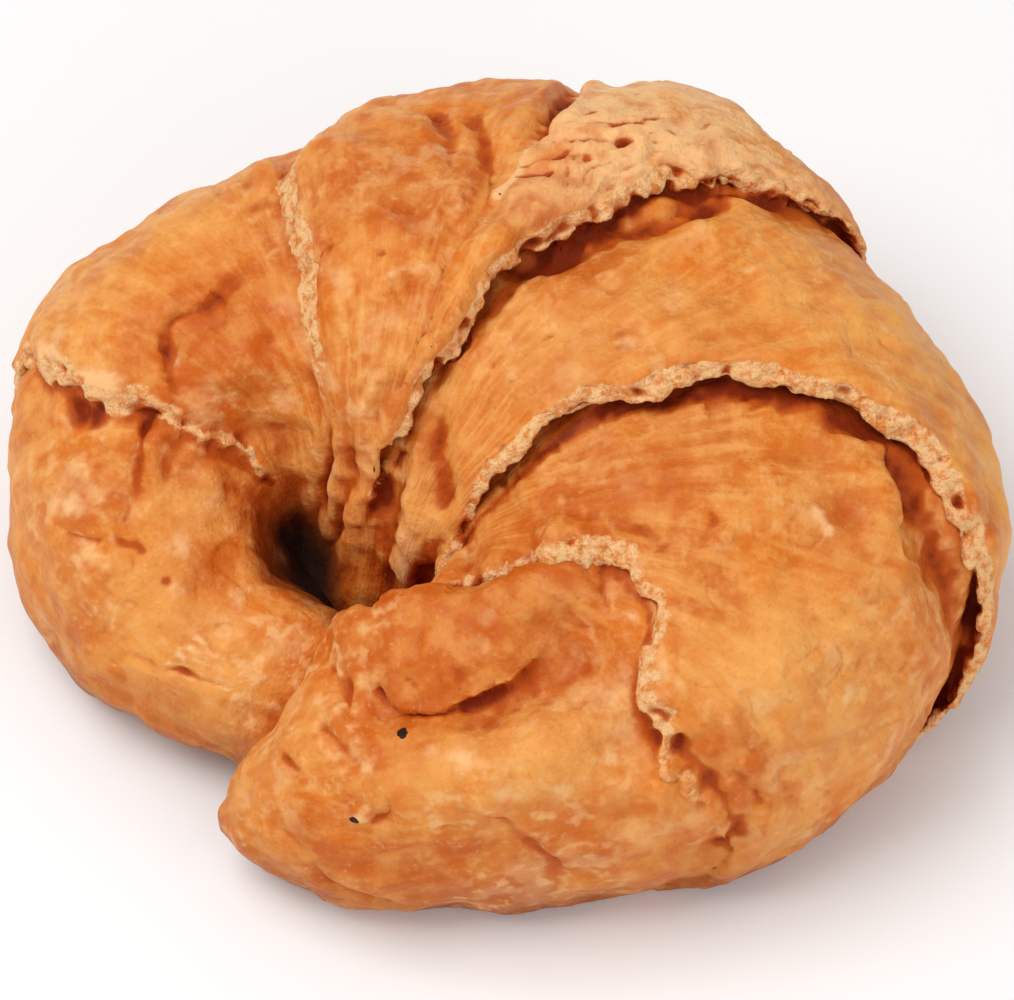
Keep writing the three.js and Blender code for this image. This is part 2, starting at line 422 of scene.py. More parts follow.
def ridge(width, rise, paleness, *places):
    """A thin raised line of dough, stretched pale along its top."""
    which, across, strength = near_line(places, 3 * width + 1)
    across = across + wobble[which] * min(1, 0.6 * width)
    top = np.exp(-((across / width) ** 2))
    lift[which] += strength * rise * top
    pale[which] += strength * paleness * top


def flap(rise, reach, shade, paleness, *places):
    """A skin that overlaps its neighbour: its left side is lifted, and the skin under its edge is pressed in and
    painted with a dark line of shade.
    """
    which, across, strength = near_line(places, 2.5 * reach)
    across = across + 0.7 * wobble[which]
    edge = 1 / (1 + np.exp(-np.clip(across / 0.22, -30, 30)))
    lift[which] += strength * rise * edge * np.exp(-((np.maximum(across, 0) / reach) ** 2))
    under = np.exp(-(((across + 0.7) / 0.9) ** 2))
    lift[which] -= strength * 0.5 * rise * under
    crevice_shade[which] += strength * SHADING * shade * under ** 3 * patchy[which]
    pale[which] += strength * paleness * np.exp(-(((across - 0.5) / 0.6) ** 2))


def dent(radius, depth, shade, place):
    """A round hollow with painted shade, or a lump where the depth is negative."""
    which, across, _ = near_line([place, (place[0] + 0.01, place[1])], 2.5 * radius)
    hollow = np.exp(-((across / radius) ** 2))
    lift[which] -= depth * hollow
    crevice_shade[which] += SHADING * shade * hollow


def press():
    """Moves the skin by the lift gathered so far."""
    global co, out, lift
    co = co + out * (lift * np.clip(co[:, 2] / 3, 0, 1))[:, None]
    lift = np.zeros(len(co))
    out = facing_out(co)


# Broad forms first: the thick horn's ridge, the band below it, the crest's crown and the dome's crown.
ridge(5.2, 5, 0, (13.2, 112), (12.4, 114), (11.4, 113), (10.7, 108), (10.2, 100))
crease(4, 3, 0.1, (12.8, 88), (12.3, 80), (11.7, 79), (11.1, 82), (10.6, 88))
ridge(6, 1.5, 0, (12.6, 45), (11.9, 50), (11.2, 62))
ridge(5, 1.2, 0, (12, 50), (11.5, 55), (11.1, 58))
dent(7, -4.2, 0, (13, 140))
dent(6, -3, 0, (0.9, 120))
dent(6, -4, 0, (0.45, 125))
ridge(6, 2.5, 0, (12, 142), (11.3, 140), (10.8, 135))
ridge(7, 1.5, 0, (5.5, 62), (5.9, 85), (6.1, 105))
crease(5, 1.4, 0.15, (3.4, 108), (3.7, 100), (4.1, 98), (4.6, 100))
ridge(6, 1.6, 0, (3.7, 118), (4.2, 112), (4.7, 112))
crease(3.5, 1.8, 0.2, (9.3, 52), (9.48, 40), (9.6, 26), (9.75, 10), on=DOME)
crease(4, 1.2, 0.1, (9.95, 71), (10.1, 58), (10.14, 46))

# The hole's lower walls swell until they all but meet.
dent(11, -9, 0, (4.7, 212))
dent(11, -9, 0, (5.7, 212))
press()

# The slim horn: the torn ledge's hollow, the creases under it, and the skin folded over above it.
dent(2.4, 2.4, 0.5, (3.3, 66))
dent(1.6, 1.4, 1, (3.2, 75))
ridge(2.2, 0.5, 1.1, (3.75, 48), (3.5, 62), (3.42, 76), (3.4, 90))
ridge(1.2, 0.4, 0.8, (3.3, 88), (3.35, 98), (3.3, 106))
crease(1.5, 1.2, 0.5, (3.3, 93), (3.05, 91), (2.75, 90), (2.3, 84))
ridge(0.9, 0.7, 0.3, (3.2, 97), (2.95, 95), (2.7, 94), (2.45, 90))
crease(1.3, 0.9, 0.3, (3.3, 106), (3.05, 103), (2.8, 100), (2.45, 93))
crease(2.6, 1.4, 0.5, (3.28, 82), (3.22, 94), (3.22, 108), (3.3, 124), (3.4, 140))
crease(0.6, 0.6, 0.5, (2.5, 50), (2.4, 56), (2.32, 62), (2.28, 68))
crease(0.6, 0.6, 0.5, (2.26, 70), (2.16, 74), (2.12, 77), (2.02, 79))
ridge(1.8, 0.8, 0.5, (2.95, 60), (2.85, 68), (2.75, 74))
crease(0.5, 0.5, 0.6, (2.62, 77), (2.45, 82), (2.3, 76))
flap(1.1, 8, 0.2, 0.05, (3.2, 105), (3.55, 97), (3.85, 92), (4.08, 91), (4.4, 94), (4.75, 91), (5.05, 88))
for k in range(6):
    ridge(0.5, 0.2, 0.45, (1.5 - 0.12 * k, 24 + 7 * k), (1.3, 34 + 7 * k), (0.9, 46 + 7 * k), (0.4, 62 + 6 * k))
crease(0.7, 0.6, 0.4, (1.6, 30), (1.1, 42), (0.7, 55))
dent(0.9, 0.5, 0.9, (1.73, 79))

# The crest: a pulled corner at its back, a dimple and small bumps on its face, and rims along both its edges.
ridge(2.4, 2.2, 0.3, (5.35, 55), (5.3, 66), (5.25, 74))
crease(1.3, 1, 0.4, (5.5, 99), (5.74, 96), (6, 98), (6.2, 101))
ridge(3, 0.7, 0, (5.6, 104), (5.95, 104))
ridge(1.5, 1.8, 0.5, (6.1, 109), (6.25, 104), (6.5, 105), (6.68, 110))
ridge(1.3, 1.6, 0.4, (6.36, 99), (6.43, 91), (6.52, 90), (6.63, 96))
crease(2, 1.5, 0.35, (6.4, 60), (6.57, 79), (6.72, 90))
crease(1.3, 1.1, 0.25, (6.2, 58), (6.36, 74), (6.45, 86))
ridge(1.6, 0.9, 0.2, (5.75, 76), (5.95, 80), (6.1, 79))
crease(1.6, 2.2, 0.8, (6.78, 30), (6.8, 60), (6.88, 76))
ridge(0.8, 1.1, 0.9, (6.86, 76), (6.9, 85), (6.87, 91), (6.84, 100), (6.82, 109), (6.74, 116))
ridge(0.8, 0.9, 0.5, (6.72, 117), (6.7, 123), (6.5, 127), (6.25, 126), (6.1, 131), (6, 143), (5.7, 158))
crease(1.3, 1.2, 0.5, (6.85, 119), (6.78, 125), (6.5, 131), (6.32, 136))

# The crest's inner wall: pleats that run down into the hole, with dark red painted shade in the hollows between them.
ridge(1.5, 0.7, 0.3, (6.3, 129), (6.15, 143), (5.95, 158), (5.5, 176), (5.2, 190))
crease(2.1, 1.4, 0.6, (6.6, 128), (6.55, 140), (6.5, 152), (6.4, 168), (6.2, 184))
ridge(1.5, 0.9, 0.4, (6.9, 130), (7.1, 145), (7.3, 158), (7.2, 172), (7, 190))
crease(1.4, 1, 0.3, (7, 128), (7.4, 140), (7.9, 148), (8.4, 152))
crease(1.1, 0.7, 0.4, (5.9, 140), (5.6, 158), (5.1, 176), (4.8, 190))
ridge(1.4, 0.6, 0.4, (5.6, 140), (5.14, 160), (4.6, 186), (4.3, 200))
crease(1, 0.9, 0.5, (5.3, 138), (4.9, 156), (4.4, 180))
crease(1, 1, 0.5, (6.9, 150), (6.8, 168), (6.6, 188))
ridge(1, 0.8, 0.4, (8.3, 158), (7.8, 172), (7.5, 190))
ridge(1.4, 0.7, 0.4, (7.9, 152), (7.6, 166), (7.3, 184))
crease(1, 0.8, 0.4, (8.8, 156), (8.4, 170), (8, 190))
ridge(0.9, 0.9, 0.5, (9.05, 156), (10, 150), (10.9, 141))
dent(1.2, -0.9, 0, (6.62, 137))

# The flaky top: the roll's outermost end, whose thin sheets have dried, split and curled along slits.
# The slits, and the recess under the top's edge, are painted dark as shade.
for where, depth in (
    ([(6.88, 78), (7.1, 76), (7.28, 70), (7.36, 64)], 1.1),
    ([(6.92, 81), (7.22, 78), (7.45, 70)], 0.8),
    ([(6.96, 85), (7.22, 84), (7.44, 79), (7.6, 70)], 1.0),
    ([(7.0, 72), (7.2, 68), (7.32, 60)], 0.6),
    ([(7.4, 76), (7.6, 68), (7.78, 56), (7.9, 44)], 0.7),
    ([(7.35, 64), (7.55, 54), (7.65, 44)], 0.5),
    ([(6.85, 90), (7.05, 90), (7.2, 88)], 0.9),
    ([(6.84, 84), (7.0, 82), (7.12, 78)], 0.9),
    ([(6.86, 87), (7.06, 86), (7.18, 82)], 0.8),
    ([(6.84, 74), (6.98, 72), (7.1, 66)], 0.7),
    ([(7.25, 88), (7.4, 85), (7.52, 80)], 0.7),
    ([(7.5, 72), (7.64, 64), (7.74, 54)], 0.6),
):
    crease(0.7, 0.7 * depth, 1.1, *where)
crease(2.4, 2.4, 1.4, (7, 100), (7.25, 95), (7.48, 88), (7.62, 80), (7.72, 70), (7.85, 58), on=ARCH_SKIN)

# The arch and the dome: skin pulled over in long stretch marks, a second skin under the arch, and small puckers.
for k in range(9):
    shift = 0.13 * k
    ridge(0.7, 0.35, 0.25,
          (7.05 + 1.5 * shift, 131), (7.35 + 1.2 * shift, 115), (7.55 + shift, 101), (7.75 + shift, 88))
flap(2.2, 8, 0.8, 0.1, (9.72, 38), (9.6, 46), (9.39, 52), (9.13, 56))
ridge(1.3, 0.7, 0.7, (9.5, 72), (9.6, 66), (9.68, 62))
crease(1.2, 0.6, 0.2, (9.62, 124), (9.75, 116), (9.78, 104), (9.9, 95), (10.03, 88))
ridge(0.8, 0.5, 0.3, (9.57, 92), (9.64, 86), (9.8, 84), (10, 86))
crease(0.8, 0.5, 0.3, (9.6, 90), (9.7, 87), (9.95, 88))

# The shadowed gap where the dome runs in under the arch's lip.
crease(1.8, 2.2, 0.4, (9.13, 142), (8.9, 134), (8.67, 120), (8.63, 108), (8.69, 96), (8.81, 84), (8.99, 70), on=DOME)
crease(2.4, 1.8, 0.3, (9.16, 58), (9.32, 46), (9.47, 32), (9.56, 16), (9.62, 0), on=DOME)

# The thick horn: the crease below its ridge, the pit at its end, and the cleft where its collar folds under.
flap(1.7, 7, 0.9, 0.1, (12.5, 92), (12.3, 83), (12.05, 79), (11.7, 81), (11.35, 86), (10.95, 92))
crease(1.3, 1, 0.35, (12.3, 72), (11.96, 72), (11.53, 75), (11.17, 82), (10.74, 85))
crease(1.1, 0.9, 0.3, (12.5, 92), (12.38, 82), (12.2, 70))
ridge(1.6, 0.7, 0.1, (12.75, 96), (12.66, 84), (12.5, 74))
crease(1, 0.7, 0.2, (12.95, 100), (12.85, 88), (12.75, 76))
ridge(0.9, 0.7, 0.3, (12.05, 88), (11.95, 80), (11.9, 74))
crease(0.8, 0.9, 0.6, (11.75, 96), (11.7, 88), (11.62, 80))
flap(0.8, 5, 0.3, 0.3, (12.05, 44), (11.79, 31), (11.63, 13), (11.49, -5))
crease(0.9, 1, 1.2, (12.5, 60), (12.47, 48), (12.43, 39), (12.6, 27))
ridge(0.8, 0.5, 0.6, (12.62, 58), (12.56, 44), (12.7, 30))
crease(0.7, 0.6, 0.9, (13.8, 72), (13.55, 64), (13.3, 56))
dent(0.9, 0.4, 1, (12.19, 46))
crease(0.8, 0.7, 0.6, (12.2, 106), (12.14, 95), (12.18, 86))
crease(0.8, 0.6, 0.5, (11.92, 104), (11.86, 94), (11.9, 85))
for k in range(4):
    ridge(0.6, 0.4, 0.35, (12.95, 62 - 13 * k), (12.35, 57 - 13 * k), (11.75, 53 - 13 * k))
crease(1.4, 1, 0.5, (13.14, 6), (12.71, -9), (12.35, -20))
crease(1.1, 0.8, 0.4, (13.2, 84), (12.9, 70), (12.65, 56))
crease(2.6, 2.1, 0.9, (10.89, 46), (10.86, 33), (10.82, 18), (10.78, 2), (10.86, -10))
dent(1.6, 1.6, 0.7, (10.88, 44))
ridge(1, 0.8, 0.45, (10.99, 44), (11.04, 27), (11.1, 9))
ridge(1.3, 0.2, 0.55, (10, 118), (10.15, 106), (10.42, 92), (10.62, 80), (10.7, 64), (10.74, 50))
ridge(1.6, 0.3, 0.45, (10.25, 118), (10.6, 106), (10.72, 92), (10.8, 76), (10.82, 60), (10.84, 48))
crease(0.7, 0.5, 0.3, (10.5, 122), (10.72, 112), (10.86, 100), (10.92, 86))
for k in range(5):
    ridge(0.5, 0.35, 0.5, (11.1 + 0.25 * k, 112), (11.4 + 0.25 * k, 104), (11.7 + 0.25 * k, 98))
crease(1, 1, 0.6, (10.75, 30), (10.7, 20), (10.68, 8))
DEEPEST = 2
lift = np.maximum(lift, -DEEPEST)
press()
co = evened(co, 1, 0.3)
out = facing_out(co)

# ---- the torn crumb and the baked surface ----
# Inside, the crumb is soft and pale with open pores. Outside, proving leaves soft lumps, and the oven dries the skin
# into fine wrinkles, stretch marks and small blisters.

# How bare each torn lip is: the left ledge and the collar tear in tufts, and the crest shows crumb only at its left.
tufts = np.clip(0.55 + 2.2 * lumps(co, 8, 21), 0, 1)
from_ledge, from_crest, from_collar = (from_layer(number) for number in (LEFT_BACK, CREST, DOME))
crumb = np.clip(crumb, 0, 1)
crumb *= np.where(from_ledge, 0.6 + 0.4 * tufts, 1)
crumb *= np.where(from_collar, np.clip(1.7 - np.abs(degrees - 85) / 50, 0.3, 1) * (0.75 + 0.25 * tufts), 1)
crumb *= np.where(from_crest, np.clip((station < 6) * 1.3 - np.abs(degrees - 84) / 60, 0.15, 1), 1)
flaky = evened(1.0 * from_layer(FLAKY_END), 2) * np.clip(2.2 - np.abs(degrees - 62) / 16, 0, 1)
crusty = 1 - crumb
lift = crusty * waves(co, (1.3, 15, 5), (1.0, 7.5, 6), (0.4, 3.6, 7), (0.13, 1.9, 17))
around = rolled / np.array([22, 22, 1.7])
lengthwise = rolled / np.array([2.2, 2.2, 22])
on_arch = np.exp(-(((station - 7.8) / 1.6) ** 2))
lift += crusty * (0.12 + 0.22 * on_arch) * lumps(around, 1, 8)
on_horns = np.clip((np.abs(station - 7) - 3.5) / 2, 0, 1)
lift += crusty * 0.22 * on_horns * lumps(lengthwise, 1, 9)
wrinkle = np.exp(-((lumps(co * np.array([1, 1, 0.7]), 7, 10) / 0.05) ** 2))
lift -= crusty * 0.3 * wrinkle * np.clip(2.5 * lumps(co, 12, 11) + 0.5, 0, 1)
FLAKE_STEP = 2.1
FLAKY_REACH = 16
terrace = behind / FLAKE_STEP + 1.2 * lumps(co, 9, 12) + 0.5 * lumps(co, 3, 18)
terrace = np.abs((terrace % 1) - 0.5) * 2
near_tear = np.clip(1.3 - behind / FLAKY_REACH, 0, 1)
lift += flaky * near_tear * (0.9 * terrace ** 2 - 0.4)
# The slits between the flaky top's terraces are painted dark as shade.
crevice_shade += 0.3 * flaky * near_tear * np.clip(1 - 5 * terrace, 0, 1) * np.clip(4 * lumps(co, 5, 19), 0, 1)
ragged = waves(co, (0.8, 2.6, 14), (0.5, 1.3, 15))
pores = np.clip(-lumps(co, 3, 16) - 0.2, 0, 1) * (1 - 0.9 * from_crest)
lift += crumb * (0.9 * ragged * (1 - 0.6 * from_crest) - 3 * pores)
press()
co = evened(co, 1, 0.25)
out = facing_out(co)

# How much of the sky a point can't see. There, in the hollows and deep folds, in the crumb's pores and on the big
# torn faces, the colour is painted darker as shade.
skin_tree = BVHTree.FromPolygons(co.tolist(), quads.tolist())
RAYS = 8
GOLDEN_ANGLE = 2.399963
SIGHT = 30
level = (np.arange(RAYS) + 0.5) / RAYS
spin = np.arange(RAYS) * GOLDEN_ANGLE
sky = np.stack([np.sqrt(level) * np.cos(spin), np.sqrt(level) * np.sin(spin), np.sqrt(1 - level)], -1)
side = np.cross(out, np.where(np.abs(out[:, 2:]) < 0.9, [[0, 0, 1]], [[1, 0, 0]]))
side /= np.linalg.norm(side, axis=1)[:, None]
other = np.cross(out, side)
shut = np.zeros(len(co))
origins = [Vector(place) for place in (co + 0.6 * out).tolist()]
for x, y, z in sky:
    rays = (side * x + other * y + out * z).tolist()
    shut += [skin_tree.ray_cast(origin, ray, SIGHT)[0] is not None for origin, ray in zip(origins, rays)]
shut = evened(shut / RAYS, 3)
hollow = ((evened(co, 8) - co) * out).sum(1)
deep = ((evened(co, 60) - co) * out).sum(1)
crevice_shade = np.clip(crevice_shade, 0, 1.2) + np.clip(1.1 * hollow, -0.3, 0.5) + np.clip(0.45 * deep, -0.3, 0.7)
crevice_shade += 0.5 * crumb * pores + 0.5 * crumb * np.clip(shut - 0.15, 0, 1)
on_big_lips = from_layer(FLAKY_END) | from_layer(ARCH_SKIN)
crevice_shade += 0.28 * on_big_lips * crumb * np.clip(1.1 - behind, 0, 1)

# Under a lip the layer below is painted dark as its shadow, most at the lip itself and less low on the roll. A
# station is about 21 millimetres long.
STATION_LENGTH = 21
toward_top = np.clip((degrees - 10) / 50, 0.35, 1)
for edge, below, reach, shade in (
    (ARCH, DOME, 1.9, 1),
    (FLAKY_EDGE, ARCH_SKIN, 1.6, 0.5),
    (SLIM_LEDGE, SLIM_HORN, 1.8, 0.4),
    (THICK_COLLAR, THICK_HORN, 0.8, 0.5),
):
    past_lip = (station - edge_at(edge, turn)) * STATION_LENGTH
    crevice_shade += shade * from_layer(below) * np.exp(-((past_lip / reach) ** 2)) * toward_top
# More painted shade wherever most of the sky is hidden.
crevice_shade += 0.9 * np.clip(shut - 0.25, 0, 1)

# The hole's walls are painted dark as shade, up to a height that falls from the slim horn's side to the crest's.
hole_shade_height = np.interp(station, [5, 6.2], [30, 15])
painted_hole_shade = np.clip((np.abs(degrees - 180) < 65) * (1.15 - co[:, 2] / hole_shade_height), 0, 1)
crevice_shade = np.clip(evened(crevice_shade, 1), 0, 1)
co[:, 2] = np.maximum(co[:, 2], 0)
# Darker towards the tray: a browner bottom crust where it baked on the tray, and painted shade where the floor's
# bounce light would brighten it.
toasted_and_shaded = np.exp(-((co[:, 2] / 12) ** 2))


def stain(*spots):
    """How near each point is to any of the spots, given as station, degrees and radius in millimetres."""
    total = np.zeros(len(co))
    for where, angle, radius in spots:
        spot = seek(np.array([where], float), np.array([angle], float))[0]
        spot = np.array(skin_tree.find_nearest(spot.tolist())[0])
        total += np.exp(-(np.linalg.norm(co - spot, axis=1) / radius) ** 2)
    return np.clip(total, 0, 1)


# Spots where the crust is redder and where it is paler: partly the oven's uneven browning, partly painted shade and
# painted light, as in the darker low spots on the thick horn.
ruddy = stain(
    (11.6, 104, 9), (10.9, 100, 8), (12.4, 110, 6), (9.75, 118, 6), (9.4, 98, 7), (6.1, 92, 7), (8.45, 88, 5),
    (8.1, 105, 6), (7.7, 96, 5), (4, 108, 9), (4.6, 100, 7), (3.7, 90, 5), (6.2, 80, 8), (6.5, 140, 8),
    (5.6, 100, 5), (7.5, 84, 6), (11.5, 10, 9), (10.8, 15, 5), (3.2, 110, 7), (2.9, 100, 4), (12.3, 72, 6),
    (9.6, 62, 5), (9.5, 30, 7), (11.6, 116, 8), (10.8, 108, 7), (12.2, 118, 7), (13.2, 118, 5), (11.8, -5, 8),
    (11, -5, 8), (12.5, 5, 6), (13.2, 20, 4), (12, 95, 7), (10, 108, 6), (2.6, 74, 5), (1.6, 95, 5))
# The low spots on the thick horn and in the collar's cleft: browner crust, and painted shade.
low_ruddy_and_shade = stain((11.9, 12, 5), (11.7, 0, 5), (12.1, 4, 5), (10.84, 22, 4), (10.8, 34, 3))
ruddy = np.maximum(ruddy, low_ruddy_and_shade)
light = stain(
    (10.2, 38, 9), (10.4, 60, 9), (8.5, 45, 12), (8.9, 25, 9), (1.6, 60, 8), (1, 50, 8), (5.5, 84, 6),
    (8.7, 30, 10), (9.2, 15, 9), (9, 38, 7), (8.4, 12, 9), (8.4, 60, 8), (7.3, 150, 8), (6.4, 165, 7),
    (8.3, 162, 8), (4.9, 60, 10), (3.8, 60, 8), (12.2, 52, 5), (11.5, 52, 5), (7.9, 105, 8), (2.4, 105, 6),
    (10.3, 15, 8))

# Single pale blisters, the two burnt flecks on the thick horn, and the browned corner of the flaky top.
blisters = stain(
    (3.75, 98, 1.7), (3.85, 84, 0.9), (2.75, 52, 3), (2.6, 62, 2), (1.95, 92, 3), (1.6, 80, 2), (3.5, 52, 3),
    (3.7, 60, 2.5), (6.9, 118, 2), (8.3, 96, 2), (9.55, 68, 1.6), (12.1, 62, 1.2), (11.9, 56, 3.2), (12.6, 60, 2),
    (12.9, 66, 1.5), (8.2, 70, 1.5), (8.6, 50, 1.3), (10.5, 45, 3), (10.2, 30, 2.5), (11.72, 42, 2.6),
    (11.45, 36, 2.2), (11.16, 47, 2), (2.1, 60, 1.5), (1.3, 96, 1.6))
pale = np.maximum(pale, 0.62 * blisters)
flecks = stain((12.25, 75, 1.2), (12.72, 31, 0.9))
browned = stain((7, 80, 4.5), (6.95, 90, 5), (7.3, 92, 4))

# The skin takes its final shape and carries these as its own values, then it is thinned.
MOST_TRIANGLES = 190000
co = co * MM + CENTRE
skin.vertices.foreach_set("co", co.ravel())
for name, value in (
    ("crumb", np.clip(crumb, 0, 1)),
    ("crevice_shade", crevice_shade),
    ("pale", np.clip(pale, 0, 1)),
    ("hole_shade", evened(painted_hole_shade, 4)),
    ("horns", on_horns),
    ("toasted_and_shaded", toasted_and_shaded),
    ("ruddy", ruddy),
    ("light", light),
    ("flecks", flecks),
    ("dried", evened(flaky, 4) * (1 - 0.7 * browned)),
):
    skin.attributes.new(name, "FLOAT", "POINT").data.foreach_set("value", value)
skin.attributes.new("rolled", "FLOAT_VECTOR", "POINT").data.foreach_set("vector", (rolled * MM).ravel())
skin.update()
croissant = bpy.data.objects.new("baked_croissant", skin)
bpy.context.scene.collection.objects.link(croissant)
thinned = croissant.modifiers.new("thinned", "DECIMATE")
thinned.ratio = MOST_TRIANGLES / (2 * len(skin.polygons))
skin = bpy.data.meshes.new_from_object(croissant.evaluated_get(bpy.context.evaluated_depsgraph_get()))
croissant.modifiers.clear()
croissant.data = skin
skin.polygons.foreach_set("use_smooth", np.ones(len(skin.polygons), dtype=bool))

# ---- the crust's colour ----
# Egg wash and sugar brown in the oven: golden where the skin bulges, and pale where it stretched or blistered late.
# The deep red-brown in the creases, hollows and pores and under the lips is painted shade.
crust = bpy.data.materials.new("baked_crust")
crust.use_nodes = True
tree = crust.node_tree
shader = tree.nodes["Principled BSDF"]


def put(kind, inputs, output=0, **settings):
    """Adds a node, sets its inputs to numbers, colours or other nodes' outputs, and gives one output."""
    node = tree.nodes.new("ShaderNode" + kind)
    for name, value in settings.items():
        setattr(node, name, value)
    for name, value in inputs.items():
        if isinstance(value, bpy.types.NodeSocket):
            tree.links.new(value, node.inputs[name])
        else:
            node.inputs[name].default_value = value
    return node.outputs[output]


def read(name, output="Fac"):
    """One of the skin's own values."""
    return put("Attribute", {}, output, attribute_name=name)


def grain(vector, scale, detail=2, rough=0.5):
    """Cloudy noise from 0 to 1, finer with a larger scale."""
    return put("TexNoise", {"Vector": vector, "Scale": scale, "Detail": detail, "Roughness": rough}, "Fac")


def ramp(value, start, end, least=0.0, most=1.0):
    """Goes smoothly from least to most as the value goes from start to end."""
    return put("MapRange", {"Value": value, 1: start, 2: end, 3: least, 4: most}, interpolation_type="SMOOTHSTEP")


def calc(operation, a, b=0.0):
    return put("Math", {0: a, 1: b}, operation=operation)


def blend(amount, a, b):
    return put("Mix", {0: amount, 6: a, 7: b}, 2, data_type="RGBA")


def stretched(vector, scale):
    return put("Mapping", {"Vector": vector, "Scale": scale})


def frayed(value, amount, noise_value):
    """A value with noise from 0 to 1 added, so that the edges of its marks break up."""
    return calc("ADD", value, calc("MULTIPLY", calc("SUBTRACT", noise_value, 0.5), amount))


place = put("TexCoord", {}, "Object")
unrolled = read("rolled", "Vector")
bare = ramp(frayed(read("crumb"), 1.1, grain(place, 600, 3, 0.65)), 0.38, 0.68)
painted_shade = frayed(read("crevice_shade"), 0.35, grain(place, 700, 3))
stretch = frayed(read("pale"), 0.6, grain(place, 500))
specks = frayed(read("flecks"), 0.8, grain(place, 900))
round_marks = grain(stretched(unrolled, (90, 90, 600)), 1, 3, 0.55)
long_marks = grain(stretched(unrolled, (450, 450, 80)), 1, 3, 0.55)
cloudy = grain(place, 75, 3)
mottled = grain(place, 210, 4, 0.55)
speckled = grain(place, 1100, 3, 0.6)
bubbly = calc("MULTIPLY", ramp(grain(place, 420, 2), 0.5, 0.7), ramp(grain(place, 55, 2), 0.4, 0.6))
swollen = calc("MAXIMUM", bubbly, calc("MULTIPLY", ramp(grain(place, 900, 1), 0.62, 0.8), 0.5))

GOLD = (0.7, 0.18, 0.012, 1)
AMBER = (0.55, 0.1, 0.005, 1)
BUFF = (0.86, 0.4, 0.1, 1)
CREAM = (0.9, 0.53, 0.24, 1)
CREASE_SHADE_UMBER = (0.5, 0.085, 0.006, 1)
DEEP_SHADE_RUSSET = (0.22, 0.02, 0.0015, 1)
TOAST_AND_SHADE = (0.3, 0.06, 0.006, 1)
BURNT_AND_SHADE_BLACK = (0.02, 0.006, 0.003, 1)
colour = blend(ramp(cloudy, 0.34, 0.7), GOLD, AMBER)
# Paler in the light spots: partly the crust's tone, partly painted light.
colour = blend(calc("MULTIPLY", read("light"), ramp(cloudy, 0.7, 0.3, 0.15, 0.8)), colour, BUFF)
horns = read("horns")
colour = blend(calc("MULTIPLY", ramp(round_marks, 0.42, 0.7, 0, 0.6), calc("SUBTRACT", 1.0, horns)), colour, BUFF)
colour = blend(calc("MULTIPLY", ramp(long_marks, 0.45, 0.75, 0, 0.5), horns), colour, BUFF)
colour = blend(ramp(mottled, 0.42, 0.68, 0, 0.5), colour, BUFF)
colour = blend(ramp(grain(place, 380, 4, 0.6), 0.48, 0.68, 0, 0.4), colour, BUFF)
colour = blend(ramp(grain(place, 38, 2), 0.45, 0.65, 0, 0.32), colour, BUFF)
# Redder in the ruddy spots: partly browning, partly painted shade.
colour = blend(calc("MULTIPLY", read("ruddy"), ramp(mottled, 0.3, 0.62, 0.95, 0.35)), colour, AMBER)
patches = ramp(grain(place, 160, 3, 0.55), 0.53, 0.66, 0, 0.35)
colour = blend(calc("MULTIPLY", patches, ramp(grain(place, 30, 1), 0.4, 0.6)), colour, CREAM)
colour = blend(calc("MULTIPLY", read("dried"), ramp(mottled, 0.3, 0.58, 0.3, 0.85)), colour, CREAM)
# Darker towards the tray: browner bottom crust and painted shade.
colour = blend(calc("MULTIPLY", read("toasted_and_shaded"), ramp(cloudy, 0.3, 0.6, 0.5, 1)), colour, TOAST_AND_SHADE)
colour = blend(ramp(speckled, 0.55, 0.75, 0, 0.3), colour, AMBER)
colour = blend(calc("MULTIPLY", swollen, ramp(horns, 0, 1, 0.25, 0.55)), colour, CREAM)
colour = blend(ramp(stretch, 0.25, 0.8, 0, 0.8), colour, CREAM)
torn = blend(ramp(grain(place, 620, 4, 0.7), 0.42, 0.66, 0, 0.85), CREAM, GOLD)
colour = blend(bare, colour, torn)
# Painted shade: red-brown in the creases, hollows and under the lips, darkest in the deepest.
colour = blend(ramp(painted_shade, 0.08, 0.55), colour, CREASE_SHADE_UMBER)
colour = blend(ramp(painted_shade, 0.5, 1.05), colour, DEEP_SHADE_RUSSET)
colour = blend(ramp(specks, 0.5, 0.6), colour, BURNT_AND_SHADE_BLACK)
# Painted shade: the hole's walls turn near black.
colour = blend(ramp(read("hole_shade"), 0.08, 0.5), colour, BURNT_AND_SHADE_BLACK)
tree.links.new(colour, shader.inputs["Base Color"])

# The baked skin has a low shine, and torn crumb and deep creases have none.
dulled = calc("MAXIMUM", calc("MULTIPLY", bare, 0.3), calc("MULTIPLY", painted_shade, 0.4))
tree.links.new(calc("ADD", ramp(mottled, 0.3, 0.7, 0.42, 0.6), dulled), shader.inputs["Roughness"])

# The finest relief: wrinkles, specks, blisters and stretch marks, and pits in the crumb.
creased = calc("ABSOLUTE", calc("SUBTRACT", grain(stretched(place, (330, 330, 260)), 1, 3, 0.6), 0.5))
wrinkled = calc("ADD", calc("MULTIPLY", mottled, 0.6), calc("MULTIPLY", creased, 1.1))
fine = calc("ADD", calc("MULTIPLY", speckled, 0.25), wrinkled)
relief = calc("ADD", fine, calc("ADD", calc("MULTIPLY", swollen, 0.15), calc("MULTIPLY", round_marks, 0.5)))
pitted = calc("MULTIPLY", calc("SUBTRACT", grain(place, 650, 3, 0.6), 0.5), bare)
relief = calc("ADD", relief, calc("MULTIPLY", pitted, 2.4))
bump = put("Bump", {"Strength": 1.0, "Distance": 0.0006, "Height": relief})
tree.links.new(bump, shader.inputs["Normal"])

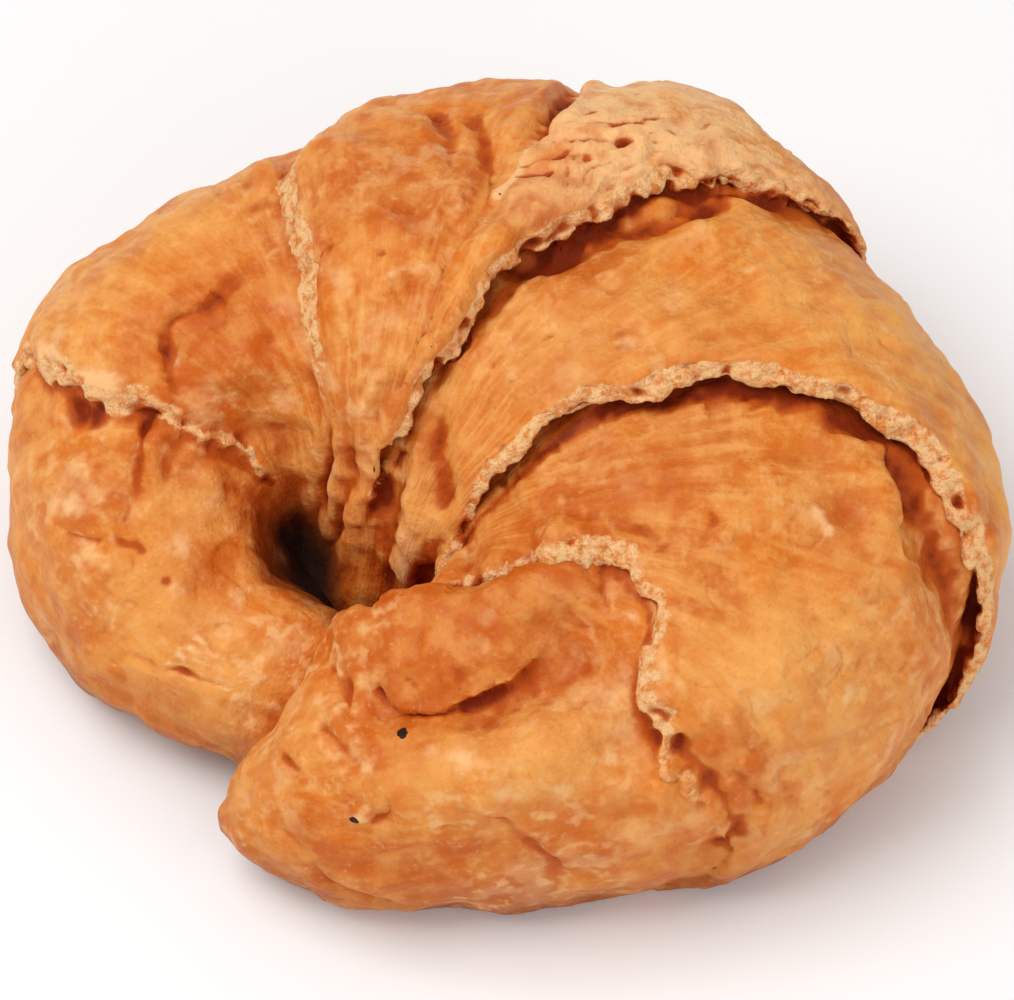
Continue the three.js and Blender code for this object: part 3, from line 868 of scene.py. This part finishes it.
# Light sinks two millimetres into the dough, and egg wash leaves a thin coat.
shader.inputs["Subsurface Weight"].default_value = 0.25
shader.inputs["Subsurface Radius"].default_value = (1, 0.35, 0.1)
shader.inputs["Subsurface Scale"].default_value = 0.002
shader.inputs["Specular IOR Level"].default_value = 0.12
shader.inputs["Coat Weight"].default_value = 0.08
shader.inputs["Coat Roughness"].default_value = 0.3
skin.materials.clear()
skin.materials.append(crust)
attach(croissant, "root")
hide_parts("croissant")

# ---- the studio ----
# A white paper floor under a white sky, with one large soft lamp above and a weaker one in front. The camera looks
# down steeply from in front with a long lens. Nothing here belongs to the croissant.
UNDER_CROISSANT = 0.0002
floor_mesh = bpy.data.meshes.new("floor")
build = bmesh.new()
bmesh.ops.create_grid(build, x_segments=1, y_segments=1, size=3)
build.to_mesh(floor_mesh)
build.free()
floor = bpy.data.objects.new("floor", floor_mesh)
floor.location.z = low.z - UNDER_CROISSANT
bpy.context.scene.collection.objects.link(floor)
paper = bpy.data.materials.new("white_paper")
paper.use_nodes = True
paper_shader = paper.node_tree.nodes["Principled BSDF"]
paper_shader.inputs["Base Color"].default_value = (0.94, 0.94, 0.94, 1)
paper_shader.inputs["Roughness"].default_value = 0.9
floor_mesh.materials.append(paper)

world = bpy.data.worlds.new("white_room")
world.use_nodes = True
sky_light = world.node_tree.nodes["Background"]
sky_light.inputs["Color"].default_value = (1, 1, 1, 1)
sky_light.inputs["Strength"].default_value = 0.56
bpy.context.scene.world = world

for name, position, size, power in (
    ("key", (-0.35, -0.05, 0.85), 0.6, 4.8),
    ("fill", (0.5, -0.65, 0.45), 0.6, 1.6),
):
    bulb = bpy.data.lights.new(name, "AREA")
    bulb.size = size
    bulb.energy = power
    lamp = bpy.data.objects.new(name, bulb)
    lamp.location = position
    lamp.rotation_euler = Vector(position).to_track_quat("Z", "Y").to_euler()
    bpy.context.scene.collection.objects.link(lamp)

lens = bpy.data.cameras.new("camera")
lens.lens = 174
lens.sensor_width = 36
camera = bpy.data.objects.new("camera", lens)
target = Vector((0.95, -1.65, 24)) * MM + Vector(CENTRE)
elevation = math.radians(55)
DISTANCE = 700
back = Vector((0, -math.cos(elevation), math.sin(elevation)))
camera.location = target + back * DISTANCE * MM
camera.rotation_euler = back.to_track_quat("Z", "Y").to_euler()
bpy.context.scene.collection.objects.link(camera)
bpy.context.scene.camera = camera
bpy.context.scene.view_settings.view_transform = "Standard"
